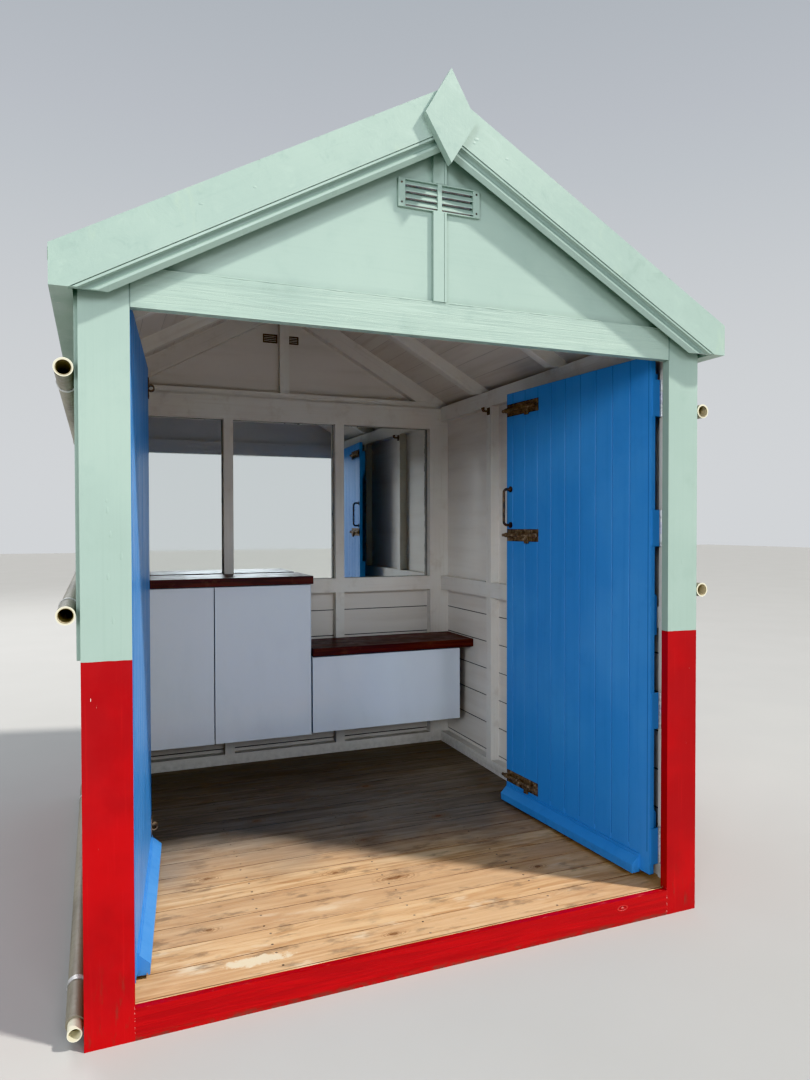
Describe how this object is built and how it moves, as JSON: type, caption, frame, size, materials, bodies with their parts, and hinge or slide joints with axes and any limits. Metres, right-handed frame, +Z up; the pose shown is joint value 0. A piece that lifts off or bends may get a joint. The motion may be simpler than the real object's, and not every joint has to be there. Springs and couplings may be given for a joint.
{
  "type": "beach hut",
  "caption": "Small timber beach hut with a pitched roof, inward-opening double doors, pad bolts, a gable vent, wall mirrors, a cupboard and a bench.",
  "frame": {"origin": "middle of the footprint, on the ground", "axes": "+X to the right seen from the front, +Y from the doors to the back wall, +Z up"},
  "size_m": [2.132, 2.237, 2.6872],
  "materials": {
    "green_paint": "satin",
    "red_paint": "satin",
    "blue_paint": "satin",
    "white_paint": "satin",
    "dark_wood": "satin",
    "floor_wood": "matte",
    "bare_wood": "matte",
    "roof_covering": "matte",
    "mirror_glass": "gloss",
    "painted_iron": "satin",
    "rusty_iron": "matte",
    "tube_plastic": "matte"
  },
  "bodies": {
    "hut": {"front_posts": "green_paint", "back_posts": "green_paint", "header": "green_paint", "sill": "red_paint", "roof_left": "bare_wood", "roof_right": "bare_wood", "covering_left": "roof_covering", "covering_right": "roof_covering", "ridge_cap": "roof_covering", "ridge_board": "white_paint", "rafters": "white_paint", "bargeboard_left": "green_paint", "bargeboard_right": "green_paint", "verge_moulding_left": "green_paint", "verge_moulding_right": "green_paint", "finial": "green_paint", "eaves": "green_paint", "gable_front": "green_paint", "gable_batten": "green_paint", "gable_vent": "green_paint", "upper_panel_left": "green_paint", "upper_panel_right": "green_paint", "upper_panel_back": "green_paint", "lower_boards_left": "red_paint", "lower_boards_right": "red_paint", "lower_boards_back": "red_paint", "floor_boards": "floor_wood", "floor_bearers": "bare_wood", "side_rails": "white_paint", "side_studs": "white_paint", "back_rails": "white_paint", "back_uprights": "white_paint", "mirrors": "mirror_glass", "back_vents": "rusty_iron", "cupboard": "white_paint", "cupboard_pivots": "painted_iron", "worktop": "dark_wood", "bench_box": "white_paint", "bench_seat": "dark_wood", "hinge_frame_leaves": "painted_iron", "coat_hook": "rusty_iron", "side_tubes": "tube_plastic", "tube_clips": "painted_iron"},
    "right_door": {"door_right": "blue_paint", "weatherboard_right": "blue_paint", "hinge_leaves_right": "painted_iron", "pull_handle": "rusty_iron", "pad_bolt_plates": "rusty_iron"},
    "left_door": {"door_left": "blue_paint", "weatherboard_left": "blue_paint", "hinge_leaves_left": "painted_iron", "bolt_keeps": "rusty_iron"},
    "top_bolt": {"bolt_top": "rusty_iron"},
    "middle_bolt": {"bolt_middle": "rusty_iron"},
    "bottom_bolt": {"bolt_bottom": "rusty_iron"},
    "left_cupboard_door": {"cupboard_door_left": "white_paint"},
    "right_cupboard_door": {"cupboard_door_right": "white_paint"}
  },
  "joints": [
    {"name": "door_right", "type": "hinge", "parent": "hut", "child": "right_door", "pos_m": [0.915, -0.9515, 0], "axis": [0, 0, -1], "range_deg": [-85.4, 4.6]},
    {"name": "door_left", "type": "hinge", "parent": "hut", "child": "left_door", "pos_m": [-0.915, -0.9515, 0], "axis": [0, 0, 1], "range_deg": [-83.8, 6.2]},
    {"name": "cupboard_left", "type": "hinge", "parent": "hut", "child": "left_cupboard_door", "pos_m": [-0.909, 0.6705, 0.674], "axis": [0, 0, -1], "range_deg": [0, 90]},
    {"name": "cupboard_right", "type": "hinge", "parent": "hut", "child": "right_cupboard_door", "pos_m": [0.048, 0.6705, 0.674], "axis": [0, 0, 1], "range_deg": [0, 90]},
    {"name": "bolt_top", "type": "slide", "parent": "right_door", "child": "top_bolt", "axis": [-0.0802, 0.9968, 0], "range_m": [-0.025, 0.02]},
    {"name": "bolt_middle", "type": "slide", "parent": "right_door", "child": "middle_bolt", "axis": [-0.0802, 0.9968, 0], "range_m": [-0.025, 0.02]},
    {"name": "bolt_bottom", "type": "slide", "parent": "right_door", "child": "bottom_bolt", "axis": [-0.0802, 0.9968, 0], "range_m": [-0.025, 0.02]}
  ]
}
